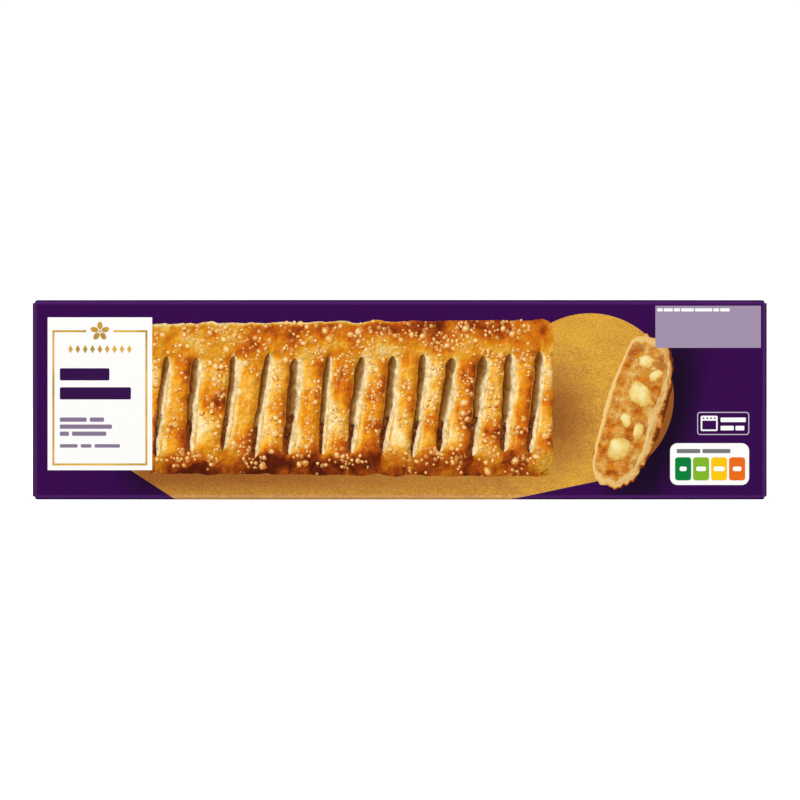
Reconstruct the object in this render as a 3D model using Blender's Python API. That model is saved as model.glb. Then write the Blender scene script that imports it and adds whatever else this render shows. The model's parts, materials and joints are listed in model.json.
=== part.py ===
"""Shut folding carton for a frozen apple strudel, standing on its long bottom panel.

One sheet of board is folded round into a tube with four long panels. The front panel faces -Y. A glue
seam runs along the lower back edge, where the back panel's cut edge laps over the sheet. At each end
the flaps are folded in and stuck down in three layers: the dust flaps of the top and bottom panels,
then the back panel's flap, then the front panel's flap outermost.

The carton is shut, so it is one solid. It is a stack of closed rings across X with a skin over them.
Each fold is a quarter round. The front panel's flap is drawn by rings of its own, which start on the
plane of the back panel's flap, so the skin steps inwards round the front flap's three cut edges.
"""

import math

import bmesh
import bpy

# Driving dimensions, in metres.
LENGTH = 0.355  # along X, over the outer flaps
DEPTH = 0.050  # along Y, between the front and back panels at their folds
HEIGHT = 0.0964  # along Z, between the bottom and top panels at their folds
BOARD = 0.0005  # thickness of the board
FOLD_RADIUS = 0.0014  # outside radius of every fold
CUT_CORNER = 0.0006  # radius left at the ends of the long folds, where the flaps are cut apart
SIDE_BULGE = 0.0006  # how far the front and back panels bow out at their middles
TOP_BULGE = 0.0003  # the same for the top panel; the bottom panel lies flat

# The outer flap, which is hinged on the front panel and narrows towards its free edge.
FLAP_SHORT = 0.0040  # from the back panel to the free edge
FLAP_TAPER = 0.0012  # by how much each long cut edge closes in on its way to the free edge
FLAP_CORNER = 0.0045  # radius of the two free corners

# The glue seam, at the lower edge of the back panel.
SEAM_RISE = 0.0009  # of the back panel's cut edge above the fold below it
SEAM_SLOPE = 0.0002  # how much lower that edge is on the inner side of the board

# Where each layer of the closed end lies, as an X position.
OUTER_END = LENGTH / 2
INNER_END = OUTER_END - BOARD
DUST_END = INNER_END - BOARD
PANEL_END = DUST_END - FOLD_RADIUS  # up to here the long panels are whole

# How finely the curves are cut up.
ARC_STEPS = 4  # on a fold or a rounded corner
LONG_STEPS = 8  # up the front and back panels
SHORT_STEPS = 4  # across the top panel
MIDDLE_STEPS = 7  # along the carton, from its middle to PANEL_END
NARROWEST = 0.00007  # least distance between two rings, except at the layers of the closed end

WELD = 0.000001
SHARP_ANGLE = math.radians(35)

INK_PURPLE = (0.041, 0.005, 0.078, 1.0)
VARNISH_ROUGHNESS = 0.4


def fold_inset(x, end):
    """How far a panel has turned inwards at x, where its fold carries it into a flap lying at end."""
    run = min(abs(x) - (end - FOLD_RADIUS), FOLD_RADIUS)
    if run <= 0:
        return 0.0
    return FOLD_RADIUS - math.sqrt(FOLD_RADIUS**2 - run**2)


def bow(x, share, height):
    """Outward bow of a panel at x, where share runs from -1 to 1 across the panel."""
    along = min(abs(x) / PANEL_END, 1.0)
    return height * (1 - along**4) * (1 - share**2)


def corner(centre_y, centre_z, radius, start_degrees):
    """Points of a quarter circle in the YZ plane, turning clockwise as seen from +X."""
    found = []
    for step in range(ARC_STEPS + 1):
        angle = math.radians(start_degrees - 90 * step / ARC_STEPS)
        found.append((centre_y + radius * math.cos(angle), centre_z + radius * math.sin(angle)))
    return found


def between(start, end, steps):
    """The inner points of a straight run from start to end, as (share from -1 to 1, y, z)."""
    for step in range(1, steps):
        t = step / steps
        yield 2 * t - 1, start[0] + t * (end[0] - start[0]), start[1] + t * (end[1] - start[1])


def outline(x, front, back, rise, back_rise, radius, back_radius, lap):
    """A closed ring round the carton at x, as points (x, y, z).

    The ring runs from y = front to y = back. It keeps clear of the bottom plane and of the top plane
    by rise at its front and by back_rise at its back. The lower back corner lies lap further in than
    the back panel, whose cut edge is a step above that corner.
    """
    low_front = corner(front + radius, rise + radius, radius, 270)
    high_front = corner(front + radius, HEIGHT - rise - radius, radius, 180)
    high_back = corner(back - back_radius, HEIGHT - back_rise - back_radius, back_radius, 90)
    low_back = corner(back - lap - back_radius, back_rise + back_radius, back_radius, 0)
    seam_height = back_rise + back_radius + SEAM_RISE
    seam = ((back, seam_height), (back - lap, seam_height - SEAM_SLOPE))

    ring = list(low_front)
    for share, y, z in between(low_front[-1], high_front[0], LONG_STEPS):
        ring.append((y - bow(x, share, SIDE_BULGE), z))
    ring += high_front
    for share, y, z in between(high_front[-1], high_back[0], SHORT_STEPS):
        ring.append((y, z + bow(x, share, TOP_BULGE)))
    ring += high_back
    for share, y, z in between(high_back[-1], seam[0], LONG_STEPS):
        ring.append((y + bow(x, share, SIDE_BULGE), z))
    ring += seam
    ring += low_back
    return [(x, y, z) for y, z in ring]


def body_ring(x):
    """Ring of the four panels and, past PANEL_END, of the folds into the dust and inner flaps."""
    front = -DEPTH / 2 + fold_inset(x, OUTER_END)
    back = DEPTH / 2 - fold_inset(x, INNER_END)
    rise = fold_inset(x, DUST_END)
    radius = FOLD_RADIUS - (FOLD_RADIUS - CUT_CORNER) * rise / FOLD_RADIUS
    return outline(x, front, back, rise, rise, radius, radius, BOARD)


def flap_ring(x):
    """Ring of the outer flap, which shares the front panel's fold with the body."""
    front = -DEPTH / 2 + fold_inset(x, OUTER_END)
    back = DEPTH / 2 - FLAP_SHORT
    return outline(x, front, back, FOLD_RADIUS, FOLD_RADIUS + FLAP_TAPER, CUT_CORNER, FLAP_CORNER, 0.0)


def ring_places():
    """X of each ring from the carton's middle out to its +X end."""
    layers = (DUST_END, INNER_END, OUTER_END)
    wanted = set(layers)
    for step in range(MIDDLE_STEPS + 1):
        wanted.add(PANEL_END * step / MIDDLE_STEPS)
    for end in layers:
        for step in range(1, ARC_STEPS):
            wanted.add(end - FOLD_RADIUS + FOLD_RADIUS * math.sin(math.pi / 2 * step / ARC_STEPS))
    places = []
    for x in sorted(wanted):
        if x in layers or not places or x - places[-1] >= NARROWEST:
            places.append(x)
    return places


def end_rings():
    """The rings from the carton's middle out to its +X end, in order."""
    places = ring_places()
    body = [body_ring(x) for x in places if x <= INNER_END]
    flap = [flap_ring(x) for x in places if x >= INNER_END]
    return body + flap


def mirrored(ring):
    return [(-x, y, z) for x, y, z in ring]


def skin(shape, rings):
    """Faces between each ring and the next, and one across each end."""
    rows = [[shape.verts.new(point) for point in ring] for ring in rings]
    for row, following in zip(rows, rows[1:]):
        for i in range(len(row)):
            shape.faces.new((row[i - 1], row[i], following[i], following[i - 1]))
    shape.faces.new(rows[0])
    shape.faces.new(rows[-1])
    bmesh.ops.remove_doubles(shape, verts=shape.verts, dist=WELD)
    bmesh.ops.recalc_face_normals(shape, faces=shape.faces)


def carton_mesh():
    right = end_rings()
    left = [mirrored(ring) for ring in reversed(right[1:])]
    shape = bmesh.new()
    skin(shape, left + right)
    mesh = bpy.data.meshes.new("carton")
    shape.to_mesh(mesh)
    shape.free()
    mesh.shade_smooth()
    mesh.set_sharp_from_angle(angle=SHARP_ANGLE)
    return mesh


def printed_board():
    """Coated board under purple ink and a satin varnish."""
    material = bpy.data.materials.new("printed_board")
    material.use_nodes = True
    surface = material.node_tree.nodes["Principled BSDF"]
    surface.inputs["Base Color"].default_value = INK_PURPLE
    surface.inputs["Roughness"].default_value = VARNISH_ROUGHNESS
    surface.inputs["Metallic"].default_value = 0.0
    return material


def main():
    for obj in list(bpy.data.objects):
        bpy.data.objects.remove(obj)
    carton = bpy.data.objects.new("carton", carton_mesh())
    carton.data.materials.append(printed_board())
    bpy.context.scene.collection.objects.link(carton)


main()
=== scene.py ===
"""The looks of a shut folding carton for a frozen apple strudel: its board, its print and a plain studio.

Each print is a film of ink in a layer of its own, a few hundredths of a millimetre thick, that follows the
panel below it. On every panel, u runs to the right and v upwards, as seen by someone who looks at that panel
from outside. The top and bottom panels are seen with the front panel's edge below and above. Lengths are in
metres, but labels and fields are laid out in millimetres.
"""

import json
import math
import random

import bmesh
import bpy
from bpy.props import FloatProperty, FloatVectorProperty, IntProperty, PointerProperty
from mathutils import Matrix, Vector, noise

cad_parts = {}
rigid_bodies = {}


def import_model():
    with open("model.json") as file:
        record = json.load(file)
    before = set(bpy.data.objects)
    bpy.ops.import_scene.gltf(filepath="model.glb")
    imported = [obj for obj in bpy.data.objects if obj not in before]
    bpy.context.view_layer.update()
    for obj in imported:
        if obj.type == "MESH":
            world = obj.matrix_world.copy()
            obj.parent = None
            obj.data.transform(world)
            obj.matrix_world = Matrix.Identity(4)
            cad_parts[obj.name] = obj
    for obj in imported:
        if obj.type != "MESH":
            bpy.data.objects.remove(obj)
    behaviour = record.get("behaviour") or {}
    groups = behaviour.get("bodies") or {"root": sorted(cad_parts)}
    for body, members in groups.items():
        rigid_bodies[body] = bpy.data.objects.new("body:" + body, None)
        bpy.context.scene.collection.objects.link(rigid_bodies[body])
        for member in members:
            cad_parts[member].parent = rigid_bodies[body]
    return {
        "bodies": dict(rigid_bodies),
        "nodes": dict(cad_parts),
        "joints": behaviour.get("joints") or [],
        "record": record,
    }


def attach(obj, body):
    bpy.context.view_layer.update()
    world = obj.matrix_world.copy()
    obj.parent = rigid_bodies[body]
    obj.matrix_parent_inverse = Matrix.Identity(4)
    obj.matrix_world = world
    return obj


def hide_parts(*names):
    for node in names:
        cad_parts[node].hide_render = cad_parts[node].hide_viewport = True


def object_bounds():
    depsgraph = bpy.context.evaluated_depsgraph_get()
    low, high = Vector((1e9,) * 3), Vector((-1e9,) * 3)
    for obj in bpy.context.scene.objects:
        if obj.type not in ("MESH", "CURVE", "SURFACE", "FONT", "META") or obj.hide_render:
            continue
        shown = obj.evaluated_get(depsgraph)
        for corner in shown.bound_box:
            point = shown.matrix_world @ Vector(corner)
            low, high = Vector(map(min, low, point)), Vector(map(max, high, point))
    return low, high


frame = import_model()
CAD_LOW, CAD_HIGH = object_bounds()

bl_info = {
    "name": "Strudel Carton",
    "version": (1, 0, 0),
    "blender": (4, 5, 0),
    "location": "3D View > Sidebar > Carton",
    "description": "Builds the board and the print of a folding carton for a frozen strudel",
    "category": "Object",
}

MM = 0.001
SIDE_BULGE = 0.6 * MM
TOP_BULGE = 0.3 * MM


def ink(red, green, blue):
    """Linear colour of an ink that is mixed by its screen values, 0 to 255."""
    shares = [value / 255 for value in (red, green, blue)]
    return tuple(share / 12.92 if share <= 0.04045 else ((share + 0.055) / 1.055) ** 2.4 for share in shares)


# -------- Settings --------


def length(name, description, default):
    return FloatProperty(name=name, description=description, default=default, unit="LENGTH", precision=5)


def colour(name, description, *screen):
    return FloatVectorProperty(
        name=name, description=description, default=ink(*screen), subtype="COLOR", min=0.0, max=1.0
    )


class CartonSizes(bpy.types.PropertyGroup):
    """Sizes of the folded board."""

    length: length("Length", "Along X, over the outer flaps", CAD_HIGH.x - CAD_LOW.x)
    depth: length("Depth", "Between the side panels' folds", CAD_HIGH.y - CAD_LOW.y - 2 * SIDE_BULGE)
    height: length("Height", "Between the bottom and top folds", CAD_HIGH.z - CAD_LOW.z - TOP_BULGE)
    board: length("Board", "Thickness of the board", 0.5 * MM)
    fold: length("Fold radius", "Outside radius of every fold", 1.4 * MM)
    cut_corner: length("Cut corner", "Radius left where the flaps are cut apart", 0.6 * MM)
    side_bulge: length("Side bulge", "Bow of the front and back panels", SIDE_BULGE)
    top_bulge: length("Top bulge", "Bow of the top panel", TOP_BULGE)
    flap_short: length("Flap gap", "From the outer flap's free edge to the back", 4.0 * MM)
    flap_taper: length("Flap taper", "How far the outer flap's cut edges close in", 1.2 * MM)
    flap_corner: length("Flap corner", "Radius of the outer flap's free corners", 4.5 * MM)
    seam_rise: length("Seam rise", "From the lower fold to the glued cut edge", 0.9 * MM)
    seam_slope: length("Seam slope", "How far the cut edge leans", 0.2 * MM)
    ink: length("Ink layer", "Height of one layer of print over the one below", 0.02 * MM)


class PrintColours(bpy.types.PropertyGroup):
    """Inks of the print, the board itself, and the painted highlight and painted shade at the folds."""

    purple: colour("Purple", "Ground of the whole carton", 56, 2, 78)
    # Painted highlight: the ground is drawn lighter in a band beside every fold, where a fold's shoulder
    # catches the light.
    fold_light: colour("Fold light", "Ground beside a fold, where it is stretched", 75, 28, 97)
    # Painted shade: the ground is drawn darker on the outside of every fold, towards the carton's silhouette.
    fold_dark: colour("Fold dark", "Ground on the outside of a fold", 43, 3, 67)
    shadow: colour("Shadow", "Ground under the pictured pastry", 28, 7, 38)
    white: colour("White", "Labels and panels", 254, 253, 251)
    gold_light: colour("Light gold", "Bright part of the gold field", 234, 178, 56)
    gold_mid: colour("Middle gold", "Gold in half shade", 194, 132, 50)
    gold_dark: colour("Dark gold", "Gold under the pictured pastry", 150, 84, 26)
    gold_line: colour("Gold line", "Frames and ornaments", 212, 165, 62)
    heading: colour("Heading", "Bold bars on the label", 54, 14, 76)
    small: colour("Small", "Fine bars on the label", 138, 120, 148)
    lilac: colour("Lilac", "Field for a stamped date", 163, 145, 172)
    pale: colour("Pale line", "Fine lines on the purple ground", 206, 197, 214)
    grey: colour("Grey", "Bars on the white panels", 122, 120, 126)
    green: colour("Green", "First cell of the value panel", 4, 130, 60)
    lime: colour("Lime", "Second cell of the value panel", 132, 184, 40)
    amber: colour("Amber", "Third cell of the value panel", 252, 200, 6)
    orange: colour("Orange", "Fourth cell of the value panel", 236, 108, 22)
    board: colour("Bare board", "Cut edges of the board", 206, 196, 178)


class PictureSettings(bpy.types.PropertyGroup):
    """The pictured pastry and its slice."""

    seed: IntProperty(name="Seed", description="Start of the random draws", default=7)
    left: length("Left end", "Of the pastry, from the carton's left end", 56.8 * MM)
    right: length("Right end", "Of the pastry, from the carton's left end", 251.5 * MM)
    bottom: length("Lower edge", "Of the pastry at its left, above the carton's bottom", 12.6 * MM)
    top: length("Upper edge", "Of the pastry at its left, above the carton's bottom", 85.0 * MM)
    middle: length("Middle", "Of the slits, above the carton's bottom", 45.8 * MM)
    slits: IntProperty(name="Slits", description="Number of slits across the pastry", default=13)
    lean: FloatProperty(
        name="Lean", description="Of the slits to the right", default=math.radians(6), subtype="ANGLE"
    )
    grains: IntProperty(name="Sugar grains", description="Number of coarse sugar grains tried", default=4200)


class StudioSettings(bpy.types.PropertyGroup):
    """Camera and light."""

    distance: length("Camera distance", "From the front panel", 4.0)
    view_width: length("View width", "What the camera sees across at the front panel", 0.3868)
    fill: FloatProperty(name="Fill", description="Light from all round", default=0.52, min=0.0)


def settings(name):
    return getattr(bpy.context.scene, "carton_" + name)


# -------- The carton's outside --------


class Outside:
    """Where the folded board's outer side lies."""

    def __init__(self):
        size = self.size = settings("sizes")
        self.outer_end = size.length / 2
        self.inner_end = self.outer_end - size.board
        self.dust_end = self.inner_end - size.board
        self.panel_end = self.dust_end - size.fold
        self.arc = math.pi / 2 * size.fold
        half, radius = size.depth / 2, size.fold
        tall, wide = size.height - 2 * radius, size.depth - 2 * radius
        # Round the sleeve from the front panel up: start (y, z), direction, outward side, length, bulge.
        self.sides = (
            ((-half, radius), (0, 1), (-1, 0), tall, size.side_bulge),
            ((-half + radius, size.height), (1, 0), (0, 1), wide, size.top_bulge),
            ((half, size.height - radius), (0, -1), (1, 0), tall, size.side_bulge),
            ((half - radius, 0.0), (-1, 0), (0, -1), wide, 0.0),
        )
        self.girth = 2 * (tall + wide) + 4 * self.arc

    def start_of(self, side):
        """Distance round the sleeve at which a side begins."""
        return sum(each[3] + self.arc for each in self.sides[:side])

    def bow(self, x, share, height):
        """Outward bow of a panel at x, where share runs from -1 to 1 across the panel."""
        along = min(abs(x) / self.panel_end, 1.0)
        return height * (1 - along**4) * (1 - share**2)

    def wrap(self, x, s, lift):
        """The point at x and at distance s round the sleeve, lift outside the board."""
        s %= self.girth
        for (y, z), run, out, flat, bulge in self.sides:
            if s > flat + self.arc:
                s -= flat + self.arc
                continue
            if s <= flat:
                across, outward = s, self.bow(x, 2 * s / flat - 1, bulge) + lift
            else:
                turn, reach = (s - flat) / self.size.fold, self.size.fold + lift
                across, outward = flat + reach * math.sin(turn), reach * math.cos(turn) - self.size.fold
            return Vector((x, y + run[0] * across + out[0] * outward, z + run[1] * across + out[1] * outward))
        raise ValueError("no such place on the sleeve")

    def front(self, u, v, lift):
        return self.wrap(u - self.outer_end, v - self.size.fold, lift)

    def top(self, u, v, lift):
        return self.wrap(u - self.outer_end, self.start_of(1) + v - self.size.fold, lift)

    def back(self, u, v, lift):
        return self.wrap(self.outer_end - u, self.start_of(2) + self.size.height - self.size.fold - v, lift)

    def bottom(self, u, v, lift):
        return self.wrap(u - self.outer_end, self.start_of(3) + v - self.size.fold, lift)

    def right_end(self, u, v, lift):
        return Vector((self.outer_end + lift, u - self.size.depth / 2, v))

    def left_end(self, u, v, lift):
        return Vector((-self.outer_end - lift, self.size.depth / 2 - u, v))


def smooth_step(value, low, high):
    share = min(max((value - low) / (high - low), 0.0), 1.0)
    return share * share * (3 - 2 * share)


# -------- Outlines on a panel, as loops of (u, v) --------


def arc_points(centre, radius, start, end, steps):
    """Points on an arc, with its angles in degrees."""
    angles = [math.radians(start + (end - start) * step / steps) for step in range(steps + 1)]
    return [(centre[0] + radius * math.cos(a), centre[1] + radius * math.sin(a)) for a in angles]


def box_loop(left, bottom, width, height, radius=0.0, steps=5):
    right, top = left + width, bottom + height
    if radius <= 0:
        return [(left, bottom), (right, bottom), (right, top), (left, top)]
    loop = []
    for u, v, start in (
        (right - radius, bottom + radius, -90),
        (right - radius, top - radius, 0),
        (left + radius, top - radius, 90),
        (left + radius, bottom + radius, 180),
    ):
        loop += arc_points((u, v), radius, start, start + 90, steps)
    return loop


def ring_loops(left, bottom, width, height, line, radius=0.0):
    """A frame's outer and inner loop."""
    inner_radius = max(radius - line, 0.0)
    inner = box_loop(left + line, bottom + line, width - 2 * line, height - 2 * line, inner_radius)
    return [box_loop(left, bottom, width, height, radius), inner]


def moved(loop, offset, turn=0.0):
    """The loop turned about its own origin, then moved."""
    c, s = math.cos(turn), math.sin(turn)
    return [(offset[0] + a * c - b * s, offset[1] + a * s + b * c) for a, b in loop]


def round_angles(points):
    return [2 * math.pi * point / points for point in range(points)]


def oval_loop(centre, half_width, half_height, turn=0.0, points=20):
    loop = [(half_width * math.cos(a), half_height * math.sin(a)) for a in round_angles(points)]
    return moved(loop, centre, turn)


# -------- Meshes --------


SINK = 0.03 * MM  # how far a film's underside lies in the board
CELL = 6 * MM  # largest distance between two cuts on a bowed panel
FOLD_CUTS = 6  # cuts through a film where it runs round a fold
MAP_MARGIN = 0.01  # left clear round a film's map


def new_object(name, shape, materials):
    mesh = bpy.data.meshes.new(name)
    shape.to_mesh(mesh)
    shape.free()
    for material in materials:
        mesh.materials.append(material)
    obj = bpy.data.objects.new(name, mesh)
    bpy.context.scene.collection.objects.link(obj)
    return obj


def on_carton(obj, slot):
    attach(obj, "root")


def flat_shape(*tags):
    """An empty shape whose points can hold a value for each tag."""
    shape = bmesh.new()
    for tag in tags:
        shape.verts.layers.float.new(tag)
    return shape


def dot(shape, place, **values):
    """A point at (u, v), with the values of its tags."""
    vert = shape.verts.new((*place, 0.0))
    for tag, value in values.items():
        vert[shape.verts.layers.float[tag]] = value
    return vert


def skin(shape, rows, closed=False):
    """Faces between each row of points and the next, which run round when the rows are closed."""
    faces = []
    for row, following in zip(rows, rows[1:]):
        for i in range(0 if closed else 1, len(row)):
            faces.append(shape.faces.new((row[i - 1], row[i], following[i], following[i - 1])))
    return faces


def fill(shape, loops, holes=False):
    """Flat faces inside the loops. With holes, a loop inside another is a hole in it."""
    edges = []
    for loop in loops:
        points = [dot(shape, place) for place in loop]
        if holes:
            edges += [shape.edges.new((points[i - 1], points[i])) for i in range(len(points))]
        else:
            shape.faces.new(points).normal_update()
    if holes:
        bmesh.ops.triangle_fill(shape, use_beauty=True, edges=edges, normal=(0, 0, 1))
    else:
        bmesh.ops.triangulate(shape, faces=shape.faces[:])


def span_of(shape, axis):
    places = [vert.co[axis] for vert in shape.verts]
    return min(places), max(places)


def cut_at(shape, axis, places):
    for place in places:
        point, normal = Vector((0, 0, 0)), Vector((0, 0, 0))
        point[axis], normal[axis] = place, 1.0
        everything = shape.verts[:] + shape.edges[:] + shape.faces[:]
        bmesh.ops.bisect_plane(shape, geom=everything, dist=1e-7, plane_co=point, plane_no=normal)


def cut_to_bend(shape):
    """Cuts flat faces finely enough to follow a bowed panel, and a fold where they reach over it."""
    for axis in (0, 1):
        low, high = span_of(shape, axis)
        steps = math.ceil((high - low) / CELL)
        cut_at(shape, axis, [low + (high - low) * step / steps for step in range(1, steps)])
    if span_of(shape, 1)[0] < 0:
        fold = settings("sizes").fold
        arc = math.pi / 2 * fold
        cut_at(shape, 1, [fold - arc * step / FOLD_CUTS for step in range(FOLD_CUTS + 1)])


def thicken(shape, thickness):
    made = bmesh.ops.extrude_face_region(shape, geom=shape.faces[:] + shape.edges[:], use_keep_orig=True)
    raised = [v for v in made["geom"] if isinstance(v, bmesh.types.BMVert)]
    bmesh.ops.translate(shape, verts=raised, vec=(0, 0, thickness))
    bmesh.ops.recalc_face_normals(shape, faces=shape.faces)


def lay_map(shape):
    """Spreads the film over its own map, with its underside below its upper side."""
    layer = shape.loops.layers.uv.new("OFBake")
    spans = [span_of(shape, axis) for axis in (0, 1)]
    for face in shape.faces:
        for corner in face.loops:
            shares = [(corner.vert.co[axis] - low) / (high - low) for axis, (low, high) in enumerate(spans)]
            corner[layer].uv = [MAP_MARGIN + (1 - 2 * MAP_MARGIN) * share for share in shares]


def film(name, shape, place, layer, material, slot="pastry_print", tags=None):
    """Turns flat faces into a film of ink on a panel.

    place is the panel's own (u, v, lift), layer counts the layers of print from the board up, and tags are
    functions of (u, v) whose values the material reads by name.
    """
    thicken(shape, settings("sizes").ink * (layer + 0.5) + SINK)
    lay_map(shape)
    layers = {tag: shape.verts.layers.float.new(tag) for tag in tags or {}}
    for vert in shape.verts:
        u, v, height = vert.co
        for tag, added in layers.items():
            vert[added] = tags[tag](u, v)
        vert.co = place(u, v, height - SINK)
    on_carton(new_object(name, shape, [material]), slot)


# -------- Materials --------


COLOUR, VALUE, VECTOR = "NodeSocketColor", "NodeSocketFloat", "NodeSocketVector"


class Wire:
    """What comes out of a node. Sums of wires and numbers make the nodes that work them out."""

    def __init__(self, socket):
        self.socket, self.tree = socket, socket.id_data

    def __add__(self, other):
        return maths("ADD", self, other)

    def __sub__(self, other):
        return maths("SUBTRACT", self, other)

    def __rsub__(self, other):
        return maths("SUBTRACT", other, self)

    def __mul__(self, other):
        return maths("MULTIPLY", self, other)

    def __abs__(self):
        return maths("ABSOLUTE", self)

    __radd__, __rmul__ = __add__, __mul__


def join(value, socket):
    """Links a wire to a node's input, or sets a number or colour there."""
    if isinstance(value, Wire):
        value.tree.links.new(value.socket, socket)
    else:
        socket.default_value = (*value, 1.0) if socket.type == "RGBA" else value


def add(tree, kind, inputs=None, **options):
    """A new node with its options set and its inputs joined. Gives its outputs by number and by name."""
    node = tree.nodes.new(kind)
    for name, value in options.items():
        setattr(node, name, value)
    for key, value in (inputs or {}).items():
        join(value, node.inputs[key])
    return {key: Wire(socket) for i, socket in enumerate(node.outputs) for key in (i, socket.name)}


def tree_of(values):
    return next(value.tree for value in values if isinstance(value, Wire))


def maths(operation, *values):
    return add(tree_of(values), "ShaderNodeMath", dict(enumerate(values)), operation=operation)[0]


def vector_maths(operation, vector, key, value):
    return add(vector.tree, "ShaderNodeVectorMath", {0: vector, key: value}, operation=operation)[0]


def shifted(place, offset):
    return vector_maths("ADD", place, 1, offset)


def scaled(vector, level):
    return vector_maths("SCALE", vector, "Scale", level)


def blend(share, low, high):
    """Colour low where share is 0 and high where it is 1."""
    inputs = {0: share, 6: low, 7: high}
    return add(share.tree, "ShaderNodeMix", inputs, data_type="RGBA", clamp_factor=True)[2]


def remap(value, low, high, to_low=0.0, to_high=1.0, smooth=True):
    kind = "SMOOTHSTEP" if smooth else "LINEAR"
    inputs = {"Value": value, "From Min": low, "From Max": high, "To Min": to_low, "To Max": to_high}
    return add(value.tree, "ShaderNodeMapRange", inputs, interpolation_type=kind)[0]


def ramp(value, stops):
    """Colours by value; stops are (position, colour)."""
    made = add(value.tree, "ShaderNodeValToRGB", {"Fac": value})["Color"]
    elements = made.socket.node.color_ramp.elements
    while len(elements) < len(stops):
        elements.new(1.0)
    for element, (position, stop) in zip(elements, stops):
        element.position = position
        element.color = (*stop, 1.0)
    return made


def tones(value, *stops):
    """Colours by value; each stop is a position and an ink's screen values."""
    return ramp(value, [(position, ink(*screen)) for position, *screen in stops])


def speckle(place, scale, detail=2.0, roughness=0.5):
    """Cloudy noise from 0 to 1."""
    inputs = {"Vector": place, "Scale": scale, "Detail": detail, "Roughness": roughness}
    return add(place.tree, "ShaderNodeTexNoise", inputs)["Fac"]


def sway(place, scale, detail=2.0, roughness=0.5):
    """Cloudy noise to both sides of 0."""
    return speckle(place, scale, detail, roughness) - 0.5


def stretched(place, scale, turn=0.0):
    """Places drawn out by scale along each axis, after a turn about Y."""
    inputs = {"Vector": place, "Scale": scale, "Rotation": (0.0, turn, 0.0)}
    return add(place.tree, "ShaderNodeMapping", inputs, vector_type="TEXTURE")[0]


def split(place):
    return add(place.tree, "ShaderNodeSeparateXYZ", {0: place})


def tag(place, name):
    """The value that the piece's points hold by this name."""
    return add(place.tree, "ShaderNodeAttribute", attribute_name=name)["Fac"]


def new_group(name, inputs, outputs):
    """Starts a node group with named sockets. Gives what comes in, and the sockets that go out."""
    tree = bpy.data.node_groups.new(name, "ShaderNodeTree")
    for side, sockets in (("INPUT", inputs), ("OUTPUT", outputs)):
        for socket, kind in sockets.items():
            tree.interface.new_socket(name=socket, in_out=side, socket_type=kind)
    start = tree.nodes.new("NodeGroupInput").outputs
    return {name: Wire(start[name]) for name in inputs}, tree.nodes.new("NodeGroupOutput").inputs


def use_group(build, **inputs):
    """Places the node group that build wires up, which is made only once."""
    name = build.__name__
    if name not in bpy.data.node_groups:
        build(name)
    return add(tree_of(inputs.values()), "ShaderNodeGroup", inputs, node_tree=bpy.data.node_groups[name])


def varnished_print(name):
    """Ink on coated board: slight mottle in its tone and in the varnish over it."""
    inputs = {"Place": VECTOR, "Ink": COLOUR, "Mottle": VALUE, "Roughness": VALUE}
    start, end = new_group(name, inputs, {"Colour": COLOUR, "Roughness": VALUE, "Height": VALUE})
    place = start["Place"]
    tone = 0.6 * sway(place, 90.0, 3.0) + 0.4 * sway(place, 2600.0)
    join(scaled(start["Ink"], 1.0 + tone * start["Mottle"]), end["Colour"])
    smear = speckle(place, 240.0, 4.0, 0.6)
    join(start["Roughness"] + 0.16 * (smear - 0.5), end["Roughness"])
    join(0.7 * speckle(place, 700.0, 3.0) + 0.3 * smear, end["Height"])


def fold_marks(name):
    """Masks for a painted highlight beside the carton's folds and a painted shade on their outsides, from how
    far a place is from the nearest fold.
    """
    inputs = {"Place": VECTOR, "Length": VALUE, "Depth": VALUE, "Height": VALUE}
    start, end = new_group(name, inputs, {"Beside": VALUE, "Outside": VALUE})
    place, axes = start["Place"], split(start["Place"])
    half_length, half_depth, half_height = (0.5 * start[key] for key in ("Length", "Depth", "Height"))
    along = half_length - abs(axes["X"])
    across = half_depth - abs(axes["Y"])
    upward = half_height - abs(axes["Z"] - half_height)
    # On a panel one of the three is near nothing, and the second smallest is the way to the nearest fold.
    nearer, farther = maths("MINIMUM", along, across), maths("MAXIMUM", along, across)
    edge = maths("MAXIMUM", nearer, maths("MINIMUM", farther, upward)) + 0.5 * MM * sway(place, 160.0)
    # Painted shade on the outermost millimetre of a fold, darkest within 0.3 mm; painted highlight from there
    # out to 2.6 mm, full between 1.0 and 1.5 mm.
    outer = remap(edge, 0.3 * MM, 1.0 * MM)
    join(outer * remap(edge, 2.6 * MM, 1.5 * MM), end["Beside"])
    join(1.0 - outer, end["Outside"])


# Masks of the painted highlight and painted shade at the folds.
def near_folds(place):
    size = settings("sizes")
    return use_group(fold_marks, Place=place, Length=size.length, Depth=size.depth, Height=size.height)


def warm_light(name):
    """A colour under more or less light: deeper and redder in the shade, paler in full light."""
    start, end = new_group(name, {"Colour": COLOUR, "Level": VALUE}, {"Colour": COLOUR})
    level = maths("MAXIMUM", start["Level"], 0.0)
    tint = {"X": level, "Y": maths("POWER", level, 1.2), "Z": maths("POWER", level, 1.9)}
    tint = add(level.tree, "ShaderNodeCombineXYZ", tint)[0]
    join(vector_maths("MULTIPLY", start["Colour"], 1, tint), end["Colour"])


def under_light(made, level):
    return use_group(warm_light, Colour=made, Level=level)["Colour"]


def new_material(name):
    """A material, its surface's inputs, and the place on the carton."""
    material = bpy.data.materials.new(name)
    material.use_nodes = True
    tree = material.node_tree
    return material, tree.nodes["Principled BSDF"].inputs, add(tree, "ShaderNodeTexCoord")["Object"]


def relief(height, strength, distance):
    inputs = {"Height": height, "Strength": strength, "Distance": distance}
    return add(height.tree, "ShaderNodeBump", inputs)[0]


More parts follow.
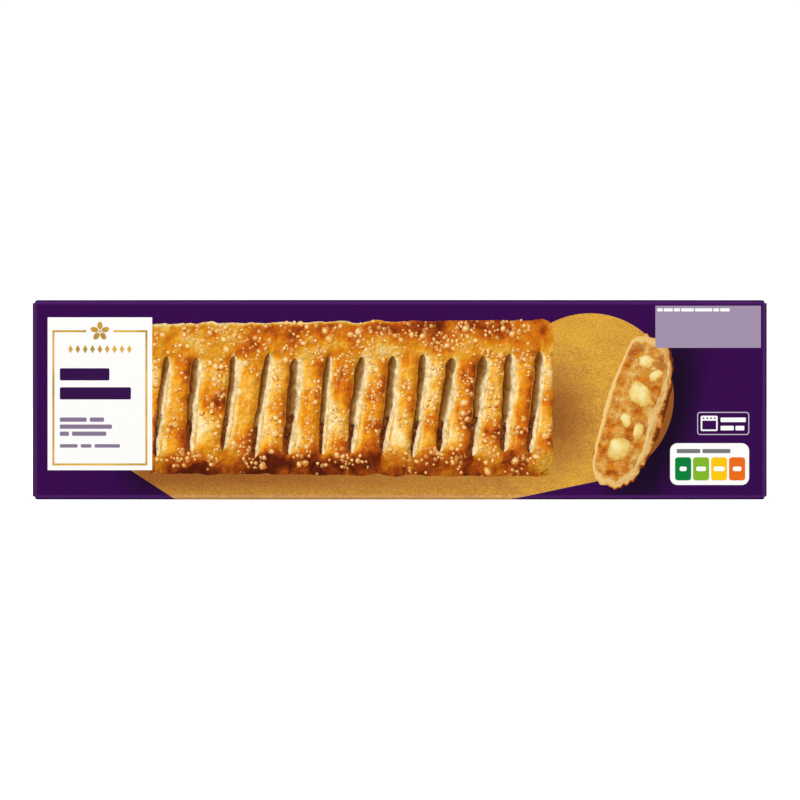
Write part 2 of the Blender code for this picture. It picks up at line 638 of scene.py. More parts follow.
def printed(name, colour_at, mottle=0.05, roughness=0.36, specular=0.14):
    """Varnished print in the colours that colour_at works out from the place on the carton."""
    material, surface, place = new_material(name)
    made = use_group(varnished_print, Place=place, Ink=colour_at(place), Mottle=mottle, Roughness=roughness)
    join(made["Colour"], surface["Base Color"])
    join(made["Roughness"], surface["Roughness"])
    join(relief(made["Height"], 0.25, 0.02 * MM), surface["Normal"])
    join(specular, surface["Specular IOR Level"])
    return material


def purple_ground(place):
    """Purple ground, with a painted highlight beside the folds and painted shade on them, and with the
    picture's shadow.
    """
    colours, marks = settings("colours"), near_folds(place)
    ground = blend(tag(place, "shade"), colours.purple, colours.shadow)
    return blend(marks["Outside"], blend(marks["Beside"], ground, colours.fold_light), colours.fold_dark)


def bare_board():
    """Cut edge of solid board: short pale fibres between two coatings."""
    material, surface, place = new_material("bare_board")
    fibres = speckle(stretched(place, (4.0, 4.0, 0.4)), 900.0, 4.0, 0.7)
    pale = settings("colours").board
    dark = [0.62 * value for value in pale]
    join(blend(remap(fibres, 0.3, 0.7), dark, pale), surface["Base Color"])
    join(remap(fibres, 0.2, 0.8, 0.75, 0.95), surface["Roughness"])
    join(relief(fibres, 0.6, 0.05 * MM), surface["Normal"])
    return material


def shaded_gold(place):
    """Gold ink with a fine grain, darker where the pictured pastry shades it, and with a faint painted
    highlight beside the folds.
    """
    colours, shade = settings("colours"), tag(place, "shade")
    grain = sway(stretched(place, (1.8, 1.0, 1.0), math.radians(18)), 1700.0, 3.0, 0.75)
    cloudy = sway(stretched(place, (3.0, 1.0, 1.0), math.radians(14)), 160.0, 3.0)
    depth = 0.2 + 0.84 * shade + (0.8 * grain + 0.2 * cloudy) * (2.3 - 1.5 * shade)
    gold = ramp(depth, ((0.0, colours.gold_light), (0.5, colours.gold_mid), (1.0, colours.gold_dark)))
    # Painted highlight: the gold is drawn a little towards white beside the folds.
    return blend(0.08 * near_folds(place)["Beside"], gold, colours.white)


def drifting_gold(place):
    """Gold ink of thin lines, whose tone drifts along them."""
    gold = settings("colours").gold_line
    tone = 0.7 * speckle(place, 60.0) + 0.3 * speckle(place, 1400.0)
    dark, light = [0.72 * value for value in gold], [min(1.3 * value, 1.0) for value in gold]
    return blend(remap(tone, 0.35, 0.65), dark, light)


MOTTLE = {"white": 0.015, "lilac": 0.03}  # of the inks that lie more evenly than the rest


def mixed(name):
    """The material of a plain ink or of gold lines, named as in the colours, which is mixed once."""
    known = bpy.data.materials
    if name == "gold_line":
        return known.get(name) or printed(name, drifting_gold, roughness=0.34, specular=0.35)
    label = name + "_ink"
    plain = getattr(settings("colours"), name)
    return known.get(label) or printed(label, lambda place: plain, MOTTLE.get(name, 0.05))


# -------- The board --------


ARC_STEPS = 7
FRONT_STEPS = 24
TOP_STEPS = 8
MIDDLE_STEPS = 36
CLOSEST_RINGS = 0.05 * MM
SHARP = math.radians(40)  # edges of the board that turn further than this stay sharp
WELD = 1e-6  # points of the board this near to each other become one


def board_ring(outside, x, front, back, rise, back_rise, radius, back_radius, lap):
    """A ring round the closed carton at x, with the number of the point just past the seam's cut edge.

    It keeps rise clear of the bottom and top planes at its front, and back_rise at its back. The lower back
    corner lies lap further in than the back panel, whose cut edge is a step above that corner.
    """
    size = outside.size

    def corner(y, z, radius, start):
        return arc_points((y, z), radius, start, start - 90, ARC_STEPS)

    def bowed(start, end, steps, out, height):
        """The inner points of a panel from start to end, which bows outwards by height."""
        for t in (step / steps for step in range(1, steps)):
            bow = outside.bow(x, 2 * t - 1, height)
            yield tuple(a + t * (b - a) + bow * side for a, b, side in zip(start, end, out))

    low = back_rise + back_radius
    low_front = corner(front + radius, rise + radius, radius, 270)
    high_front = corner(front + radius, size.height - rise - radius, radius, 180)
    high_back = corner(back - back_radius, size.height - low, back_radius, 90)
    low_back = corner(back - lap - back_radius, low, back_radius, 0)
    seam = [(back, low + size.seam_rise), (back - lap, low + size.seam_rise - size.seam_slope)]
    ring = [*low_front, *bowed(low_front[-1], high_front[0], FRONT_STEPS, (-1, 0), size.side_bulge)]
    ring += [*high_front, *bowed(high_front[-1], high_back[0], TOP_STEPS, (0, 1), size.top_bulge)]
    ring += [*high_back, *bowed(high_back[-1], seam[0], FRONT_STEPS, (1, 0), size.side_bulge)]
    return [(x, y, z) for y, z in (*ring, *seam, *low_back)], len(ring) + 1


def fold_inset(outside, x, end):
    """How far a panel has turned inwards at x, where its fold carries it into a flap lying at end."""
    fold = outside.size.fold
    run = min(abs(x) - (end - fold), fold)
    return fold - math.sqrt(fold**2 - run**2) if run > 0 else 0.0


def body_ring(outside, x):
    """Ring of the four panels and of the folds into the dust and inner flaps."""
    size = outside.size
    front = -size.depth / 2 + fold_inset(outside, x, outside.outer_end)
    back = size.depth / 2 - fold_inset(outside, x, outside.inner_end)
    rise = fold_inset(outside, x, outside.dust_end)
    radius = size.fold - (size.fold - size.cut_corner) * rise / size.fold
    return board_ring(outside, x, front, back, rise, rise, radius, radius, size.board)


def flap_ring(outside, x):
    """Ring of the outer flap."""
    size = outside.size
    front = -size.depth / 2 + fold_inset(outside, x, outside.outer_end)
    back, back_rise = size.depth / 2 - size.flap_short, size.fold + size.flap_taper
    return board_ring(outside, x, front, back, size.fold, back_rise, size.cut_corner, size.flap_corner, 0.0)


def ring_places(outside):
    """X of each ring from the carton's middle out to its end."""
    layers = (outside.dust_end, outside.inner_end, outside.outer_end)
    wanted = {*layers, *(outside.panel_end * step / MIDDLE_STEPS for step in range(MIDDLE_STEPS + 1))}
    for end in layers:
        turns = (math.pi / 2 * step / ARC_STEPS for step in range(1, ARC_STEPS))
        wanted.update(end - outside.size.fold * (1 - math.sin(turn)) for turn in turns)
    places = []
    for x in sorted(wanted):
        if x in layers or not places or x - places[-1] >= CLOSEST_RINGS:
            places.append(x)
    return places


def is_cut_edge(outside, face):
    """True for the raw edges of the end flaps."""
    middle = face.calc_center_median()
    in_flaps = outside.dust_end < abs(middle.x) <= outside.outer_end - WELD
    return in_flaps and abs(face.normal.x) < 0.2 and face.normal.y > -0.5


def make_board(outside):
    places = ring_places(outside)
    rings = [body_ring(outside, x) for x in places if x <= outside.inner_end]
    rings += [flap_ring(outside, x) for x in places if x >= outside.inner_end]
    cut = rings[0][1]
    right = [ring for ring, _ in rings]
    left = [[(-x, y, z) for x, y, z in ring] for ring in reversed(right[1:])]
    shape = bmesh.new()
    shade = shape.verts.layers.float.new("shade")
    rows = [[shape.verts.new(point) for point in ring] for ring in left + right]
    for i, face in enumerate(skin(shape, rows, closed=True)):
        face.material_index = 1 if i % len(rows[0]) == cut else 0
    shape.faces.new(rows[0])
    shape.faces.new(rows[-1])
    bmesh.ops.remove_doubles(shape, verts=shape.verts, dist=WELD)
    bmesh.ops.recalc_face_normals(shape, faces=shape.faces)
    for face in shape.faces:
        if is_cut_edge(outside, face):
            face.material_index = 1
    for vert in shape.verts:
        if vert.co.y < -outside.size.depth / 2 + 0.01 * MM:
            vert[shade] = picture_shade(vert.co.x + outside.outer_end, vert.co.z)
    board = new_object("board", shape, [printed("purple_ground", purple_ground, mottle=0.04), bare_board()])
    board.data.shade_smooth()
    board.data.set_sharp_from_angle(angle=SHARP)
    on_carton(board, "purple_print")
    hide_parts("carton")


# -------- The picture: a slit pastry, a slice of it, and a gold field --------


SLICE_CENTRE = (291.0 * MM, 42.0 * MM)
SLICE_HALF = (14.6 * MM, 38.0 * MM)
SLICE_TURN = math.radians(-17)

GOLD_END = (46 * MM, 15 * MM)  # upper left corner of the gold strip
GOLD_SLANT = 23 * MM  # how far its left end leans over by the carton's lower edge
GOLD_FOOT = 231 * MM  # where its lower edge leaves the carton's
GOLD_CENTRE = (269.5 * MM, 49.5 * MM)
GOLD_RADIUS = 40.5 * MM
GOLD_BLEED = 9 * MM


def picture_shade(u, v):
    """How dark the print is below and beside the pastry and its slice, from 0 to 1."""
    picture = settings("picture")
    below = 0.0
    if v <= picture.middle:
        below = 0.3 + 0.66 * smooth_step(v, picture.bottom - 14 * MM, picture.bottom)
        below *= smooth_step(u, picture.left - 22 * MM, picture.left)
        below *= 1 - smooth_step(u, picture.right - 30 * MM, picture.right + 8 * MM)
        below *= 1 - 0.5 * smooth_step(u, picture.left, picture.right)
    reach = math.hypot((u - picture.right + 2 * MM) / (27 * MM), (v - 40 * MM) / (34 * MM))
    beside = 0.92 * (1 - smooth_step(reach, 0.1, 1.15))
    from_slice = (u - SLICE_CENTRE[0] - 9 * MM, v - SLICE_CENTRE[1] + 4 * MM)
    across, along = moved([from_slice], (0.0, 0.0), -SLICE_TURN)[0]
    reach = math.hypot(across / SLICE_HALF[0], along / SLICE_HALF[1])
    return max(below, beside, 1 - smooth_step(reach, 0.7, 1.75))


def gold_outline():
    """A strip along the carton's lower edge that runs into a disc behind the pastry's right end."""
    (cu, cv), radius = GOLD_CENTRE, GOLD_RADIUS
    # The strip's lower edge leaves the carton's at its foot and touches the disc.
    away = math.hypot(cu - GOLD_FOOT, cv)
    touches = math.degrees(math.atan2(cv, cu - GOLD_FOOT) - math.asin(radius / away)) - 90
    meets = 180 - math.degrees(math.asin((GOLD_END[1] - cv) / radius))
    start = GOLD_END[0] + GOLD_SLANT * (1 + GOLD_BLEED / GOLD_END[1])
    corners = [(start, -GOLD_BLEED), (GOLD_FOOT - 5 * MM, -GOLD_BLEED), (GOLD_FOOT, 0.0)]
    return corners + arc_points(GOLD_CENTRE, radius, touches, meets, 90) + [GOLD_END]


def make_gold(outside):
    shape = flat_shape()
    fill(shape, [gold_outline()])
    cut_to_bend(shape)
    gold = printed("gold_field", shaded_gold, roughness=0.34, specular=0.28)
    film("gold_field", shape, outside.front, 1, gold, "gold_print", {"shade": picture_shade})


class Slit:
    """One slit through the pastry's top: a bent lens round a leaning middle line."""

    def __init__(self, u, v, half, width=0.0, lean=0.0, bend=0.0):
        self.u, self.v, self.half, self.width, self.lean, self.bend = u, v, half, width, lean, bend

    def line(self, v):
        """The middle line at height v, which runs on past both ends."""
        t = min(max((v - self.v) / self.half, -1.0), 1.0)
        return self.u + math.tan(self.lean) * (v - self.v) + self.bend * (1 - t * t)

    def half_width(self, v):
        if not self.width:
            return 0.0
        reach = 2.2 * self.width
        over = min(max(abs(v - self.v) - self.half + reach, 0.0) / reach, 1.0)
        wobble = 1 + 0.3 * noise.noise(Vector((self.u / MM, v / (7 * MM), 0.0)))
        return self.width * wobble * math.sqrt(1 - over**2)


def slits():
    """The pastry's slits from left to right."""
    picture = settings("picture")
    draw = random.Random(picture.seed)
    found = []
    for i in range(picture.slits):
        share = (i + 0.5) / picture.slits
        along = (picture.right - picture.left) * (share + 0.09 * share * (1 - share))
        found.append(Slit(
            u=picture.left - 2 * MM + along + draw.uniform(-1.0, 1.0) * MM,
            v=picture.middle + draw.uniform(-1.2, 1.2) * MM,
            half=draw.uniform(22.5, 25.0) * MM,
            width=draw.uniform(1.7, 3.1) * MM,
            lean=picture.lean + math.radians(draw.uniform(-2.5, 2.5)),
            bend=draw.uniform(-1.0, 1.0) * MM,
        ))
    return found


def ripple(place, seed, size):
    """A smooth wobble of about the given size along an edge."""
    slow = noise.noise(Vector((place / (9 * MM), seed, 0.0)))
    return size * (slow + 0.3 * noise.noise(Vector((place / (2.6 * MM), seed, 3.0))))


class Pastry:
    """Where the pictured pastry's edges, slits and ribs lie."""

    CORNER = 6 * MM  # how far from the right end its edges start to draw together

    def __init__(self):
        self.picture = settings("picture")
        self.slits = slits()
        ends = [Slit(u, self.picture.middle, 1.0) for u in (self.picture.left, self.picture.right)]
        self.lines = [ends[0], *self.slits, ends[1]]

    def along(self, u):
        return (u - self.picture.left) / (self.picture.right - self.picture.left)

    def edges(self, u):
        """Heights of the lower and the upper edge at u, which draw together at the rounded right end."""
        picture, corner = self.picture, self.CORNER
        over = min(max(u - (picture.right - corner), 0.0) / corner, 1.0)
        inset = 0.5 * corner * (1 - math.sqrt(1 - over**2))
        sag = 1.6 * MM * self.along(u)
        low = picture.bottom - sag + inset + ripple(u, 1.0, 1.3 * MM)
        high = picture.top + 1.2 * sag - inset + ripple(u, 5.0, 1.2 * MM)
        return low, high

    def height(self, u, v):
        low, high = self.edges(u)
        return (v - low) / (high - low)

    def rib(self, u, v):
        """The rib at a place: its number, how far across it, and how far past the slits' ends."""
        number = 0
        while number < len(self.lines) - 2 and self.lines[number + 1].line(v) <= u:
            number += 1
        before, after = self.lines[number], self.lines[number + 1]
        left = before.line(v) + before.half_width(v)
        right = after.line(v) - after.half_width(v)
        nearest = before if u - before.line(v) < after.line(v) - u and before.width else after
        nearest = nearest if nearest.width else self.slits[-1]
        past = smooth_step(abs(v - nearest.v) / nearest.half, 0.82, 1.12)
        return number, (u - left) / (right - left), past

    def place(self, column, up, per_rib):
        """A point of the crust's net, whose columns follow the slits."""
        number = min(int(column // per_rib), len(self.lines) - 2)
        share = column / per_rib - number
        before, after = self.lines[number], self.lines[number + 1]
        v = self.picture.middle
        for _ in range(3):
            u = before.line(v) + share * (after.line(v) - before.line(v))
            low, high = self.edges(u)
            v = low + up * (high - low)
        if number == len(self.lines) - 2:
            u += share * (ripple(v, 9.0, 0.9 * MM) + 0.3 * ripple(3 * v, 4.0, 0.8 * MM))
        return u, v

    def light(self, u, v):
        """How much light the crust catches, which comes from the left."""
        _, across, past = self.rib(u, v)
        rounded = 0.74 - 2.7 * (min(max(across, 0.0), 1.0) - 0.34) ** 2
        crease = -0.3 * past * (1 - past) * 4
        height = self.height(u, v)
        slab = -0.75 * smooth_step(height, 0.2, 0.0) - 0.14 * smooth_step(height, 0.88, 1.0)
        return rounded * (1 - past) + (0.34 + crease) * past + slab

    def bake(self, u, v):
        """How brown the crust is, from 0 to 1."""
        number, across, past = self.rib(u, v)
        height, along = self.height(u, v), self.along(u)
        own = 0.36 * noise.noise(Vector((number * 7.3, v / (11 * MM), 4.0)))
        patch = 0.4 * noise.noise(Vector((u / (17 * MM), v / (13 * MM), 2.0)))
        flank = 0.16 * smooth_step(across, 0.45, 0.9) - 0.5 * smooth_step(across, 0.3, 0.0)
        low = smooth_step(height, 0.26, 0.04) * (0.56 - 0.3 * along)
        high = smooth_step(height, 0.78, 0.96) * (0.04 + 0.24 * along)
        rim = 0.9 * smooth_step(height, 0.983, 0.996) * (1 - smooth_step(along, 0.45, 0.7))
        end = 0.22 * smooth_step(u, self.picture.right - 5 * MM, self.picture.right)
        return 0.43 + own + patch + flank * (1 - past) + low + high - rim - end

    def sugar(self, u, v):
        """How thickly sugar lies."""
        _, across, past = self.rib(u, v)
        heap = 1.2 * noise.noise(Vector((u / (12 * MM), v / (12 * MM), 8.0)))
        middle = 0.6 - abs(min(max(across, 0.0), 1.0) - 0.55) * 1.6
        foot = 0.42 * smooth_step(self.height(u, v), 0.16, 0.02)
        return 0.3 + 0.1 * self.along(u) + heap + 0.36 * middle * (1 - past) + 0.12 * past - foot


def sugar_beads(name):
    """Fine sugar: round beads, lit at their upper left, in a share of the cells of a random net."""
    outputs = dict.fromkeys(("Bead", "Rim", "Glint", "Shadow"), VALUE)
    start, end = new_group(name, {"Place": VECTOR, "Thickness": VALUE, "Scale": VALUE}, outputs)
    place = start["Place"]
    bent = shifted(place, scaled(speckle(place, 500.0, 2.0, 0.6), 1.3 * MM))

    def beads(low, high, shift=(0.0, 0.0, 0.0)):
        inputs = {"Vector": shifted(bent, shift), "Scale": start["Scale"]}
        cells = add(place.tree, "ShaderNodeTexVoronoi", inputs)
        drawn = add(place.tree, "ShaderNodeSeparateColor", {0: cells["Color"]})[0]
        return remap(cells["Distance"], high, low) * remap(start["Thickness"] - drawn, 0.0, 0.08)

    whole = beads(0.36, 0.44)
    join(whole, end["Bead"])
    join(whole - beads(0.22, 0.36), end["Rim"])
    join(beads(0.1, 0.26, (0.22 * MM, 0.0, -0.26 * MM)), end["Glint"])
    join(beads(0.36, 0.5, (-0.3 * MM, 0.0, 0.36 * MM)), end["Shadow"])


def crust(place):
    """Baked pastry: pale to dark by how brown it is, with lit blisters, gloss and fine sugar."""
    light = tag(place, "light")
    made = tones(
        tag(place, "bake") + 1.05 * sway(place, 150.0, 4.0, 0.6) + 0.34 * sway(place, 620.0, 3.0, 0.6),
        (0.0, 248, 216, 152), (0.14, 242, 196, 104), (0.3, 236, 172, 56), (0.46, 228, 144, 16),
        (0.6, 216, 118, 8), (0.74, 194, 88, 6), (0.87, 152, 60, 2), (1.0, 108, 36, 0),
    )
    # The same blisters a little to one side: the difference is their lit and shaded flanks.
    aside = shifted(place, (0.4 * MM, 0.0, -0.4 * MM))
    flank = speckle(place, 300.0, 3.0, 0.55) - speckle(aside, 300.0, 3.0, 0.55)
    made = under_light(made, 0.78 + 0.5 * light + 2.0 * flank)
    gloss = remap(speckle(stretched(place, (1.0, 1.0, 3.2)), 420.0), 0.58, 0.74) * remap(light, 0.2, 0.7)
    made = blend(0.6 * gloss, made, ink(252, 206, 104))
    beads = use_group(sugar_beads, Place=place, Thickness=tag(place, "sugar"), Scale=400.0)
    for mask, strength, tint in (
        ("Shadow", 0.34, ink(166, 74, 6)),
        ("Bead", 0.34, ink(240, 172, 80)),
        ("Rim", 0.3, ink(250, 204, 124)),
        ("Glint", 0.75, ink(255, 228, 172)),
    ):
        made = blend(strength * beads[mask], made, tint)
    return made


def inside_of_slit(place):
    """Shadow under the slit's left lip, then filling, then the pale dough on its right."""
    side, along = tag(place, "side"), tag(place, "along")
    wobble, slow = sway(place, 300.0, 3.0, 0.6), sway(place, 60.0, 1.0)
    leant = side - 0.42 * along + 1.6 * slow + 0.7 * wobble
    across = maths("MAXIMUM", leant, 0.3 * wobble + maths("MINIMUM", side, -0.75))
    made = tones(
        remap(across, -1.3, 1.3, smooth=False),
        (0.0, 206, 134, 24), (0.1, 164, 92, 8), (0.14, 88, 38, 0), (0.2, 108, 56, 8),
        (0.32, 138, 90, 34), (0.47, 156, 112, 56), (0.56, 176, 136, 82), (0.62, 224, 194, 146),
        (0.74, 240, 216, 172), (0.86, 248, 212, 146), (1.0, 238, 178, 76),
    )
    grain = speckle(stretched(place, (1.0, 1.0, 1.6)), 640.0, 3.0, 0.65)
    made = under_light(made, 1.0 + 1.6 * (grain - 0.5))
    syrup = blend(remap(grain, 0.35, 0.65), ink(66, 22, 0), ink(130, 62, 12))
    foot = remap(along + 0.8 * slow + 0.9 * wobble, -0.24, -0.42)
    return blend(foot * remap(across, 0.3, 0.14) * remap(side, -1.08, -0.95), made, syrup)


RIB_COLUMNS = 13
CRUST_ROWS = 84
SLIT_SIDES = (-1.3, -1.0, -0.8, -0.5, -0.2, 0.1, 0.35, 0.6, 0.8, 1.0, 1.3)
SLIT_ROWS = 40
SLIT_LIP = 1.6 * MM
SLIT_REACH = 0.9995  # share of a slit's length that is drawn, which stops short of its pointed ends


def make_pastry(outside):
    """The crust, in two halves that meet on a slit's middle line, and the insides of the slits."""
    pastry = Pastry()
    ribs = len(pastry.lines) - 1
    tags = {"light": pastry.light, "bake": pastry.bake, "sugar": pastry.sugar}
    material = printed("pastry_crust", crust)
    for side, first, last in (("left", 0, ribs // 2), ("right", ribs // 2, ribs)):
        shape, rows = flat_shape(), []
        for column in range(RIB_COLUMNS * first, RIB_COLUMNS * last + 1):
            places = [pastry.place(column, row / CRUST_ROWS, RIB_COLUMNS) for row in range(CRUST_ROWS + 1)]
            rows.append([dot(shape, place) for place in places])
        skin(shape, rows)
        film("pastry_crust_" + side, shape, outside.front, 2, material, tags=tags)
    make_slits(outside, pastry)


def make_slits(outside, pastry):
    """The insides of the slits, with a narrow lip of crust on both sides."""
    shape = flat_shape("side", "along")
    for slit in pastry.slits:
        rows = []
        for row in range(SLIT_ROWS + 1):
            t = math.sin(math.pi * (row / SLIT_ROWS - 0.5)) * SLIT_REACH
            v = slit.v + slit.half * t
            points = []
            for side in SLIT_SIDES:
                lip = max(abs(side) - 1, 0) * math.copysign(SLIT_LIP, side) * math.sqrt(1 - t * t)
                u = slit.line(v) + max(min(side, 1), -1) * slit.half_width(v) + lip
                points.append(dot(shape, (u, v), side=side, along=t))
            rows.append(points)
        skin(shape, rows)
    film("pastry_slits", shape, outside.front, 3, printed("slit_inside", inside_of_slit))


def domes(name, loops, layer, material, place, tags=None, lit=(-0.16, 0.2)):
    """Blobs of print that grow paler from their rims to a point off their middles, towards the light."""
    shape = flat_shape("dome")
    for loop in loops:
        cu, cv = (sum(values) / len(loop) for values in zip(*loop))
        reach = max(math.hypot(u - cu, v - cv) for u, v in loop)
        rings = []
        for scale, value in ((1.0, 0.0), (0.78, 0.4), (0.5, 0.75), (0.2, 1.0)):
            du, dv = ((1 - scale) * reach * share for share in lit)
            places = [(cu + (u - cu) * scale + du, cv + (v - cv) * scale + dv) for u, v in loop]
            rings.append([dot(shape, at, dome=value) for at in places])
        skin(shape, rings, closed=True)
        shape.faces.new(rings[-1])
    film(name, shape, place, layer, material, tags=tags)


def grain_loop(draw, centre, radius):
    """A roughly round grain, longer one way than the other."""
    turn, slim = draw.uniform(0, 2 * math.pi), draw.uniform(0.62, 1.0)
    loop = []
    for angle in round_angles(8):
        reach = radius * draw.uniform(0.8, 1.14)
        loop.append((reach * math.cos(angle), slim * reach * math.sin(angle)))
    return moved(loop, centre, turn)


def sugar_places(pastry):
    """(centre, radius) of each coarse sugar grain, clear of the slits and of each other."""
    picture = pastry.picture
    draw = random.Random(picture.seed + 1)
    found = []
    for _ in range(picture.grains):
        u = draw.uniform(picture.left + 2 * MM, picture.right - 1.5 * MM)
        v = draw.uniform(picture.bottom, picture.top + 3 * MM)
        low, high = pastry.edges(u)
        if not low + 0.8 * MM < v < high:
            continue
        radius = min(0.6 + draw.expovariate(1 / 0.42), 2.1) * MM
        if draw.uniform(0.2, 1.0) > pastry.sugar(u, v):
            continue
        in_slit = any(
            abs(v - slit.v) < slit.half + radius
            and abs(u - slit.line(v)) < slit.half_width(v) + radius + 0.5 * MM
            for slit in pastry.slits
        )
        if not in_slit and all(math.hypot(u - a, v - b) >= (radius + r) * 0.8 for (a, b), r in found):
            found.append(((u, v), radius))
    return found


def sugar_grain(place):
    """A clear grain of sugar: the crust's tone comes through it, under a pale gleam."""
    dome = tag(place, "dome") + 1.4 * sway(place, 600.0, 3.0, 0.6)
    through = tones(
        tag(place, "bake"),
        (0.1, 246, 206, 130), (0.4, 236, 168, 70), (0.65, 222, 138, 48), (1.0, 172, 84, 28),
    )
    gleam = tones(
        dome,
        (0.0, 226, 150, 54), (0.14, 246, 196, 112), (0.36, 248, 206, 130),
        (0.58, 240, 180, 92), (0.8, 250, 214, 142), (1.0, 255, 234, 182),
    )
    return blend(remap(dome, 0.35, 0.95, 0.36, 0.9), through, gleam)


def sugar_shade(place):
    """The grains' shadow on the crust."""
    return blend(remap(speckle(place, 500.0, 4.0, 0.6), 0.35, 0.65), ink(164, 76, 10), ink(212, 124, 30))


def make_sugar(outside):
    draw = random.Random(settings("picture").seed + 2)
    pastry = Pastry()
    under, beads = [], {"left": [], "right": []}
    middle = (pastry.picture.left + pastry.picture.right) / 2
    for (u, v), radius in sugar_places(pastry):
        under.append(grain_loop(draw, (u + 0.16 * radius, v - 0.2 * radius), 1.08 * radius))
        bead = grain_loop(draw, (u, v), radius)
        beads["left" if bead[0][0] < middle else "right"].append(bead)
    shape = flat_shape()
    fill(shape, under)
    film("sugar_shade", shape, outside.front, 3, printed("sugar_shade", sugar_shade))
    material = printed("sugar_grain", sugar_grain)
    for side, chosen in beads.items():
        domes("sugar_beads_" + side, chosen, 4, material, outside.front, {"bake": pastry.bake})


SLICE_RINGS = (0.25, 0.45, 0.6, 0.7, 0.76, 0.81, 0.85, 0.88, 0.91, 0.94, 0.96, 0.98, 1.0)
SLICE_POINTS = 132
SLICE_THIN = 3.0 * MM  # thickness of the dough on the slice's flat side
SLICE_CHUNKS = (  # of apple: shares of the half width and half length, width and height in millimetres
    (-0.12, 0.66, 9.0, 7.0),
    (0.02, 0.24, 15.0, 10.5),
    (-0.2, -0.12, 6.0, 7.0),
    (-0.1, -0.5, 13.0, 12.0),
    (0.32, 0.52, 5.0, 9.0),
    (0.3, -0.22, 4.6, 10.0),
)


def slice_rim(angle):
    """The cut face's outline: flat on its left side, domed on its right."""
    c, s = math.cos(angle), math.sin(angle)
    flaky = 0.06 if c > -0.2 else 0.021
    loose = 1 + 0.05 * noise.noise(Vector((1.8 * c, 1.8 * s, 1.0)))
    loose *= 1 + flaky * noise.noise(Vector((8 * c, 8 * s, 2.0)))
    across = SLICE_HALF[0] * math.copysign(abs(c) ** (0.8 if c > 0 else 0.55), c)
    along = SLICE_HALF[1] * math.copysign(abs(s) ** 0.85, s) * (1 - 0.07 * c)
    return across * loose, along * loose


def in_slice(across, along):
    return moved([(across, along)], SLICE_CENTRE, SLICE_TURN)[0]


def slice_dough(place, depth, domed):
    """Dough from the slice's rim inwards, which is baked darker and in leaves on its domed side."""
    inwards = tag(place, "depth")
    toasted = remap(speckle(place, 120.0, 3.0, 0.6), 0.36, 0.62) * domed
    made = tones(
        depth + 0.15 * (1.0 - domed) - 0.2 * toasted,
        (0.0, 118, 46, 4), (0.05, 176, 92, 18), (0.13, 218, 142, 52), (0.26, 234, 184, 104),
        (0.6, 240, 202, 130), (0.85, 230, 182, 98), (1.0, 212, 148, 60),
    )
    # Leaves of dough run along the rim: the noise changes fast inwards and slowly along it.
    slow = split(stretched(place, (0.018, 0.018, 0.018)))
    folded = add(place.tree, "ShaderNodeCombineXYZ", {"X": 5.0 * inwards, "Y": slow["X"], "Z": slow["Z"]})[0]
    leaves = speckle(folded, 1.0, 3.0, 0.6)
    for low, high, strength, tint in (
        (0.53, 0.6, 0.65, ink(178, 104, 36)),
        (0.46, 0.38, 0.5, ink(250, 224, 168)),
    ):
        line = remap(leaves, low, high) * domed * remap(inwards, 0.14, 0.32)
        made = blend(strength * line, made, tint)
    return made


def slice_filling(place):
    """Stewed apple and syrup with candied bits and wet glints."""
    made = tones(
        speckle(place, 210.0, 4.0, 0.62),
        (0.3, 158, 74, 6), (0.41, 200, 110, 18), (0.5, 214, 140, 48), (0.6, 226, 172, 84),
        (0.7, 240, 200, 122),
    )
    stewed = remap(speckle(stretched(place, (1.5, 1.0, 1.0), 0.3), 130.0, 3.0, 0.55), 0.54, 0.62)
    candied = remap(speckle(place, 170.0, 3.0, 0.5), 0.62, 0.68)
    glints = use_group(sugar_beads, Place=place, Thickness=0.3, Scale=900.0)["Glint"]
    for mask, tint in (
        (0.6 * stewed, ink(168, 82, 20)),
        (0.75 * candied, ink(230, 136, 26)),
        (0.7 * glints, ink(255, 240, 210)),
    ):
        made = blend(mask, made, tint)
    return made


def slice_face(place):
    """Cut face of the slice: baked outside, layers of dough, then filling."""
    light = tag(place, "light")
    depth = tag(place, "depth") + sway(place, 220.0, 3.0, 0.6)
    dough = slice_dough(place, depth, remap(light, 0.66, 0.4))
    made = blend(remap(depth, 0.88, 1.12), dough, slice_filling(place))
    return under_light(made, 0.8 + 0.3 * light)


def apple(place):
    """A chunk of apple, pale where it catches the light."""
    return tones(
        tag(place, "dome") + 1.5 * sway(place, 330.0, 3.0, 0.6),
        (0.0, 196, 122, 40), (0.14, 212, 152, 64), (0.38, 232, 190, 98), (0.68, 243, 214, 130),
        (1.0, 250, 232, 164),
    )


def lump_loop(draw, centre, half_width, half_height, turn):
    """The smooth uneven outline of a lump."""
    swells = []
    for order, size in ((2, 0.1), (3, 0.11), (5, 0.05)):
        swells.append((order, draw.uniform(0.3, 1.0) * size, draw.uniform(0, 6.28)))
    loop = []
    for angle in round_angles(28):
        reach = 1 + sum(size * math.cos(order * angle + start) for order, size, start in swells)
        loop.append((half_width * reach * math.cos(angle), half_height * reach * math.sin(angle)))
    return moved(loop, centre, turn)


